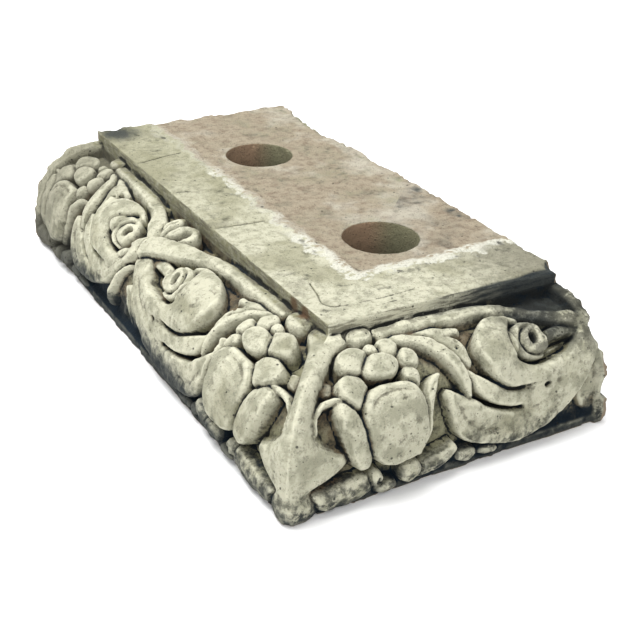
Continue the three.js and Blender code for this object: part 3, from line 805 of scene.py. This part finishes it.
class Shading:
    """Adds nodes to a material and links them."""

    def __init__(self, material):
        material.use_nodes = True
        self.tree = material.node_tree
        self.shader = self.tree.nodes["Principled BSDF"]

    def add(self, kind, values, **settings):
        node = self.tree.nodes.new(kind)
        for name, value in settings.items():
            setattr(node, name, value)
        for key, value in values.items():
            if isinstance(value, bpy.types.NodeSocket):
                self.tree.links.new(value, node.inputs[key])
            else:
                node.inputs[key].default_value = value
        return node

    def sum(self, a, b):
        return self.add("ShaderNodeMath", {0: a, 1: b}, operation="ADD").outputs[0]

    def product(self, a, b, *more):
        out = self.add("ShaderNodeMath", {0: a, 1: b}, operation="MULTIPLY").outputs[0]
        return self.product(out, *more) if more else out

    def most(self, a, b):
        return self.add("ShaderNodeMath", {0: a, 1: b}, operation="MAXIMUM").outputs[0]

    def least(self, a, b):
        return self.add("ShaderNodeMath", {0: a, 1: b}, operation="MINIMUM").outputs[0]

    def pushed(self, value, noise, amount):
        """The value with a share of a noise added."""
        return self.sum(value, self.product(noise, amount))

    def ragged(self, value, noise, amount):
        """The value made uneven by a noise, up and down."""
        return self.pushed(value, self.sum(noise, -0.5), amount)

    def vector(self, operation, values):
        return self.add("ShaderNodeVectorMath", values, operation=operation)

    def distance(self, place, centre):
        return self.vector("DISTANCE", {0: place, 1: centre}).outputs["Value"]

    def step(self, value, low, high, start=0.0, end=1.0):
        """A smooth step from start to end while the value goes from low to high."""
        values = {"Value": value, "From Min": low, "From Max": high, "To Min": start, "To Max": end}
        return self.add("ShaderNodeMapRange", values, interpolation_type="SMOOTHSTEP").outputs[0]

    def blend(self, share, under, over):
        return self.add("ShaderNodeMix", {0: share, 6: under, 7: over}, data_type="RGBA").outputs[2]

    def noise(self, place, size, detail=3.0, roughness=0.6):
        values = {"Vector": place, "Scale": 1 / size, "Detail": detail, "Roughness": roughness}
        return self.add("ShaderNodeTexNoise", values).outputs[0]

    def spots(self, place, spacing, radius):
        """Small round spots, one in most cells of the given spacing."""
        cells = self.add("ShaderNodeTexVoronoi", {"Vector": place, "Scale": 1 / spacing})
        chance = self.add("ShaderNodeSeparateColor", {0: cells.outputs["Color"]}).outputs[0]
        spot = self.step(cells.outputs["Distance"], radius / spacing, 0.5 * radius / spacing)
        return self.product(spot, self.step(chance, 0.35, 0.45))


def srgb(red, green, blue):
    """A colour from 0 to 255 as linear values."""
    shares = (c / 255 for c in (red, green, blue))
    return (*(c / 12.92 if c < 0.04 else ((c + 0.055) / 1.055) ** 2.4 for c in shares), 1)


CREAM = srgb(184, 182, 161)
GREY_SLIP = srgb(150, 149, 129)
CLAY_BROWN = srgb(94, 80, 60)
OLIVE = srgb(126, 124, 98)
HIGHLIGHT = srgb(205, 203, 181)
# Grey-brown for real stains and streaks, also painted round creases as shade.
STAIN_AND_SHADE = srgb(104, 101, 86)
# Dark navy for real dirt and stains, also painted as shade in creases and recesses.
NAVY_DIRT_AND_SHADE = srgb(8, 24, 34)
# Soot black for real stains, specks and pits, also painted as shade in creases and deep in the core holes.
SOOT_AND_SHADE = srgb(34, 35, 31)
BED_CLAY = srgb(146, 136, 117)
BED_BROWN = srgb(122, 109, 92)
MORTAR = srgb(196, 195, 182)
HOLE_CLAY = srgb(152, 128, 104)
RUST = srgb(92, 70, 50)
BROKEN_CLAY = srgb(132, 120, 102)


# Where the leaf that stays brown, the fillet's rust marks and the bed's stained far corner are, in mm.
BROWN_LEAF = (0, 240, 30)
RUST_MARKS = [(BED_SETBACK, 92, 76), (BED_SETBACK, 79, 76)]
CORNER_STAIN = (66, 400, BLOCK_HEIGHT)


class BlockShading(Shading):
    """The places, hollows and noises that the parts of the block's colour share, in mm."""

    def __init__(self, material):
        super().__init__(material)
        own = self.add("ShaderNodeTexCoord", {}).outputs
        in_mm = self.vector("SCALE", {0: own["Object"], 3: 1 / MM}).outputs[0]
        self.place = self.vector("ADD", {0: in_mm, 1: (-corner_x, -corner_y, 0)}).outputs[0]
        self.x, self.y, self.z = self.add("ShaderNodeSeparateXYZ", {0: self.place}).outputs
        self.inset = self.least(self.x, self.y)
        self.facing_up = self.add("ShaderNodeSeparateXYZ", {0: own["Normal"]}).outputs[2]
        self.close = self.attribute("close_hollow")
        self.wide = self.attribute("wide_hollow")
        self.standing = self.attribute("standing")
        self.broad = self.noise(self.place, 45)
        self.patch = self.noise(self.place, 14, 4)
        self.stain = self.noise(self.place, 8, 8, 0.75)
        self.fleck = self.noise(self.place, 4, 4)
        self.grain = self.noise(self.place, 1.2, 2)
        self.pits = self.most(self.spots(self.place, 3.1, 0.42), self.spots(self.place, 7.5, 0.9))
        self.long_side = self.step(self.pushed(self.y, self.x, -1.0), -2, 2)
        self.front_side = self.step(self.long_side, 0.6, 0.4)

    def attribute(self, name):
        return self.add("ShaderNodeAttribute", {}, attribute_name=name).outputs["Fac"]


def slip_colour(s):
    """The cream slip on the raised forms: grime and painted shade round its creases, dirt splashed up from
    the foot.
    """
    slip = s.blend(s.step(s.patch, 0.42, 0.6), CREAM, GREY_SLIP)
    slip = s.blend(s.step(s.broad, 0.5, 0.72, 0, 0.45), slip, OLIVE)
    slip = s.blend(s.step(s.stain, 0.52, 0.68, 0, 0.3), slip, STAIN_AND_SHADE)
    slip = s.blend(s.step(s.fleck, 0.52, 0.7, 0, 0.2), slip, STAIN_AND_SHADE)
    # Grime and painted shade round the creases, where the forms crowd in.
    grime_and_crease_shade = s.step(s.ragged(s.close, s.stain, 0.5), 0.515, 0.60, 0, 0.7)
    slip = s.blend(grime_and_crease_shade, slip, STAIN_AND_SHADE)
    height = s.ragged(s.ragged(s.z, s.patch, -50.0), s.stain, -30.0)
    splash = s.product(s.step(height, 26, 8), s.step(s.fleck, 0.36, 0.56), 0.65)
    return s.blend(splash, slip, SOOT_AND_SHADE)


# The sunk ground's own colour. It is also painted into wide hollows as grime and painted shade.
def ground_colour(s):
    brown = s.blend(s.step(s.broad, 0.4, 0.6), CLAY_BROWN, OLIVE)
    return s.blend(s.step(s.stain, 0.44, 0.58, 0, 0.75), brown, SOOT_AND_SHADE)


def low_darkening(s):
    """How much navy darkening lies along the foot: on the ground, on the long face's forms and at the arris.
    """
    foot_height = s.sum(s.product(s.long_side, s.step(s.y, 30, 160, 2, 14)), 13.0)
    above_foot = s.pushed(s.ragged(s.z, s.stain, -26.0), foot_height, -1.0)
    from_leaf = s.pushed(s.distance(s.place, BROWN_LEAF), s.patch, 8.0)
    ground = s.product(s.step(above_foot, 8, -6), s.step(s.standing, -1.5, -5))
    ground = s.product(ground, s.step(from_leaf, 18, 28, 0.1, 1))
    long_run = s.product(s.step(above_foot, 4, -9), s.long_side, s.step(s.y, 20, 100, 0.6, 0.85))
    front = s.product(s.step(above_foot, 6, -10), s.front_side, s.step(s.stain, 0.44, 0.56), 0.75)
    arris = s.product(s.step(s.pushed(s.z, s.stain, 12.0), 15, 9), s.step(s.standing, 1, -3), 0.9)
    return s.most(s.most(ground, long_run), s.most(front, arris))


def carved_colour(s):
    """The carved faces: slip on what stands out, brown ground, dirt and painted shade in creases, painted
    highlights on edges.
    """
    sunk = s.step(s.ragged(s.standing, s.patch, 5.0), -2.5, -7)
    # Wide hollows take the dark ground colour as grime and painted shade.
    recess_shade_and_grime = s.step(s.ragged(s.wide, s.patch, 0.22), 0.51, 0.68, 0, 0.95)
    carved = s.blend(s.most(recess_shade_and_grime, s.product(sunk, 0.85)), slip_colour(s), ground_colour(s))
    # Navy and soot in the narrow creases: dirt and painted shade.
    crevice_dirt_and_shade = s.step(s.ragged(s.close, s.stain, 0.4), 0.605, 0.69)
    carved = s.blend(crevice_dirt_and_shade, carved, s.blend(s.step(s.patch, 0.4, 0.6), SOOT_AND_SHADE, NAVY_DIRT_AND_SHADE))
    # Painted highlight on the edges that stand out.
    edge_highlight = s.step(s.close, 0.44, 0.35, 0, 0.7)
    carved = s.blend(edge_highlight, carved, HIGHLIGHT)
    carved = s.blend(low_darkening(s), carved, NAVY_DIRT_AND_SHADE)
    return with_dark_ends(s, carved)


def with_dark_ends(s, carved):
    """The carved faces' colour, darker at the long face's far end and at the short face's worn end."""
    far_y = s.pushed(s.y, s.stain, 60.0)
    # The long face's wide hollows are made darker towards its far end.
    darker_far_hollows = s.product(s.long_side, s.step(far_y, 345, 430, 0, 0.6), s.step(s.wide, 0.4, 0.6))
    carved = s.blend(darker_far_hollows, carved, SOOT_AND_SHADE)
    greyer = s.product(s.long_side, s.step(far_y, 320, 420, 0, 0.55))
    carved = s.blend(greyer, carved, STAIN_AND_SHADE)
    towards_end = s.product(s.step(s.pushed(s.x, s.stain, 60.0), 160, 215), s.front_side)
    # Painted shadow in the recessed ground high on the short face, towards its worn end.
    cove_shadow = s.product(towards_end, s.step(s.z, 46, 66), s.step(s.standing, 0, -4))
    carved = s.blend(cove_shadow, carved, NAVY_DIRT_AND_SHADE)
    vine_grime = s.product(towards_end, s.step(s.z, 46, 58), s.step(s.stain, 0.4, 0.52), 0.7)
    carved = s.blend(vine_grime, carved, SOOT_AND_SHADE)
    cut_end = s.step(s.pushed(s.x, s.stain, 16.0), 209, 226, 0, 0.4)
    return s.blend(cut_end, carved, SOOT_AND_SHADE)


def fillet_colour(s):
    """The fillet's upright side: streaked along it, painted lighter on the front, navy towards the worn end,
    with two rust marks.
    """
    fillet = s.blend(s.step(s.fleck, 0.4, 0.65), OLIVE, GREY_SLIP)
    # Painted light: the front is brightened because the lamps leave it in shade.
    fillet = s.blend(s.product(s.front_side, 0.85), fillet, HIGHLIGHT)
    drawn_out = s.vector("MULTIPLY", {0: s.place, 1: (0.12, 0.12, 1)}).outputs[0]
    streaks = s.noise(drawn_out, 2.2, 4)
    fillet = s.blend(s.step(streaks, 0.46, 0.6, 0, 0.75), fillet, STAIN_AND_SHADE)
    dark_run = s.step(s.pushed(s.x, s.sum(streaks, s.patch), 45.0), 150, 225, 0, 0.93)
    fillet = s.blend(s.product(s.front_side, dark_run), fillet, NAVY_DIRT_AND_SHADE)
    # Painted shade and dirt in the fillet's creases, in patches.
    fillet = s.blend(s.product(s.step(s.close, 0.56, 0.66), s.step(s.patch, 0.3, 0.5)), fillet, SOOT_AND_SHADE)
    rust = 0.0
    for centre in RUST_MARKS:
        away = s.pushed(s.distance(s.place, centre), s.fleck, 5.0)
        rust = s.most(rust, s.step(away, 9, 4.5))
    return s.blend(s.product(rust, 0.85), fillet, RUST)


def bed_colour(s):
    """The top: a cream, stained rim, a line of mortar and the pink clay bed within it."""
    away = s.ragged(s.ragged(s.sum(s.inset, -BED_SETBACK), s.patch, 26.0), s.fleck, 8.0)
    clay = s.blend(s.step(s.stain, 0.42, 0.66), BED_CLAY, BED_BROWN)
    clay = s.blend(s.step(s.broad, 0.5, 0.66, 0, 0.35), clay, MORTAR)
    clay = s.blend(s.step(s.patch, 0.56, 0.72, 0, 0.4), clay, STAIN_AND_SHADE)
    bed = s.blend(s.step(s.stain, 0.42, 0.62, 0, 0.9), CREAM, GREY_SLIP)
    bed = s.blend(s.step(s.broad, 0.42, 0.62, 0, 0.6), bed, OLIVE)
    bed = s.blend(s.step(s.y, 120, 380, 0, 0.55), bed, OLIVE)
    bed = s.blend(s.step(s.pushed(s.x, s.stain, 60.0), 160, 240, 0, 0.75), bed, STAIN_AND_SHADE)
    bed = s.blend(s.step(s.patch, 0.52, 0.72, 0, 0.4), bed, STAIN_AND_SHADE)
    from_corner = s.pushed(s.distance(s.place, CORNER_STAIN), s.stain, 30.0)
    bed = s.blend(s.step(from_corner, 40, 20, 0, 0.85), bed, NAVY_DIRT_AND_SHADE)
    bed = s.blend(s.step(away, 43, 46), bed, clay)
    crust = s.product(s.step(away, 38, 41), s.step(away, 53, 48), s.step(s.fleck, 0.36, 0.5))
    crust = s.product(crust, s.step(s.pushed(s.broad, s.y, -0.0012), 0.16, 0.34, 0.25, 0.9))
    bed = s.blend(crust, bed, MORTAR)
    # Painted shade and dirt in the bed's creases.
    return s.blend(s.step(s.ragged(s.close, s.stain, 0.12), 0.54, 0.6, 0, 0.85), bed, SOOT_AND_SHADE)


def with_plain_faces(s, colour):
    """The colour with bare clay on the back, the far end and the underside."""
    broken = s.blend(s.step(s.patch, 0.35, 0.65), BROKEN_CLAY, BED_BROWN)
    back = s.step(s.x, BLOCK_WIDTH - 2.2, BLOCK_WIDTH - 1)
    far_end = s.step(s.y, BLOCK_LENGTH - 2.2, BLOCK_LENGTH - 1)
    upright = s.product(s.most(back, far_end), s.step(s.facing_up, 0.75, 0.5))
    return s.blend(s.most(upright, s.step(s.z, 1.2, 0.4)), colour, broken)


def with_core_holes(s, colour):
    """The colour with clay walls in the core holes. They are darker lower down: painted shade deep in the
    holes.
    """
    flat = s.vector("MULTIPLY", {0: s.place, 1: (1, 1, 0)}).outputs[0]
    for hole_x, hole_y in hole_centres():
        away = s.distance(flat, (hole_x, hole_y, 0))
        wall = s.product(s.step(away, CORE_RADIUS + 2.5, CORE_RADIUS + 1), s.step(s.facing_up, 0.75, 0.4))
        core = s.blend(s.step(s.sum(s.x, -hole_x), 4, 22), HOLE_CLAY, OLIVE)
        # Painted shade, darker the deeper the wall.
        colour = s.blend(wall, colour, s.blend(s.step(s.z, 76, 30), core, SOOT_AND_SHADE))
    return colour


def weathered_terracotta():
    material = bpy.data.materials.new("weathered_terracotta")
    s = BlockShading(material)
    on_fillet = s.product(s.step(s.z, 68, 71), s.step(s.inset, 46, 49))
    colour = s.blend(on_fillet, carved_colour(s), fillet_colour(s))
    on_bed = s.product(s.step(s.z, 78.5, 79.8), s.step(s.facing_up, 0.5, 0.8), s.step(s.inset, 53, 54.5))
    colour = s.blend(on_bed, colour, bed_colour(s))
    colour = with_core_holes(s, with_plain_faces(s, colour))
    colour = s.blend(s.product(s.pits, 0.8), colour, SOOT_AND_SHADE)
    speck = s.product(s.step(s.grain, 0.52, 0.64), s.step(s.fleck, 0.42, 0.56))
    colour = s.blend(s.product(speck, 0.3), colour, SOOT_AND_SHADE)
    s.tree.links.new(colour, s.shader.inputs["Base Color"])
    s.shader.inputs["Roughness"].default_value = 0.92
    s.shader.inputs["Specular IOR Level"].default_value = 0.25
    relief = s.sum(s.product(s.stain, 2.6), s.sum(s.product(s.grain, 1.3), s.product(s.pits, -1.0)))
    bump = s.add("ShaderNodeBump", {"Height": relief, "Distance": MM, "Strength": 0.8})
    s.tree.links.new(bump.outputs[0], s.shader.inputs["Normal"])
    return material


# The photograph's camera: its place in mm from the corner lines, its azimuth, elevation and roll in degrees,
# and its lens and sensor in mm.
CAMERA_PLACE = (-225.04, -403.96, 372.71)
CAMERA_ANGLES = (-30.872, 28.348, 1.739)
CAMERA_LENS = 63.07
SENSOR_WIDTH = 36

# Soft lights, each as its name, its place from the block's middle in m, its size in m and its power in W.
LIGHTS = [
    ("overhead", (-0.3, 0.3, 1.8), 1.2, 52),
    ("side", (-0.8, -1.4, 1.1), 1.4, 15),
]
WORLD_STRENGTH = 0.6
FLOOR_REACH = 6.0
FLOOR_PALE = 0.9


def photo_camera():
    """The photograph's camera, fitted to the block's straight edges and core holes."""
    azimuth, elevation, roll = (math.radians(a) for a in CAMERA_ANGLES)
    place = in_frame(*CAMERA_PLACE)
    level = math.cos(elevation)
    back = Vector((math.sin(azimuth) * level, -math.cos(azimuth) * level, math.sin(elevation)))
    right = (-back).cross(Vector((0, 0, 1))).normalized()
    up = right.cross(-back)
    rolled_right = right * math.cos(roll) + up * math.sin(roll)
    rolled_up = up * math.cos(roll) - right * math.sin(roll)
    data = bpy.data.cameras.new("camera")
    data.sensor_width = SENSOR_WIDTH
    data.lens = CAMERA_LENS
    camera = bpy.data.objects.new("camera", data)
    turn = Matrix((rolled_right, rolled_up, back)).transposed().to_4x4()
    camera.matrix_world = Matrix.Translation(place) @ turn
    bpy.context.scene.collection.objects.link(camera)
    bpy.context.scene.camera = camera


def soft_light(name, place, aim, size, power):
    data = bpy.data.lights.new(name, "AREA")
    data.size = size
    data.energy = power
    light = bpy.data.objects.new(name, data)
    light.location = place
    light.rotation_euler = (aim - place).to_track_quat("-Z", "Y").to_euler()
    bpy.context.scene.collection.objects.link(light)


def studio():
    """Soft lights, a white world and a pale floor round the block."""
    middle = in_frame(BLOCK_WIDTH / 2, BLOCK_LENGTH / 2, 0)
    for name, away, size, power in LIGHTS:
        soft_light(name, middle + Vector(away), middle, size, power)
    world = bpy.data.worlds.new("studio")
    world.use_nodes = True
    world.node_tree.nodes["Background"].inputs["Color"].default_value = (1, 1, 1, 1)
    world.node_tree.nodes["Background"].inputs["Strength"].default_value = WORLD_STRENGTH
    bpy.context.scene.world = world
    bpy.context.scene.view_settings.view_transform = "Standard"
    corners = [middle + Vector((x, y, 0)) * FLOOR_REACH for x, y in ((-1, -1), (1, -1), (1, 1), (-1, 1))]
    mesh = bpy.data.meshes.new("floor")
    mesh.from_pydata([(c.x, c.y, 0) for c in corners], [], [(0, 1, 2, 3)])
    floor = bpy.data.objects.new("floor", mesh)
    bpy.context.scene.collection.objects.link(floor)
    material = bpy.data.materials.new("pale_floor")
    material.use_nodes = True
    shader = material.node_tree.nodes["Principled BSDF"]
    shader.inputs["Base Color"].default_value = (FLOOR_PALE, FLOOR_PALE, FLOOR_PALE, 1)
    shader.inputs["Roughness"].default_value = 0.8
    mesh.materials.append(material)


photo_camera()
studio()
block = carve_block()
block.data.materials.append(weathered_terracotta())
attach(block, "root")
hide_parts("frieze_block")
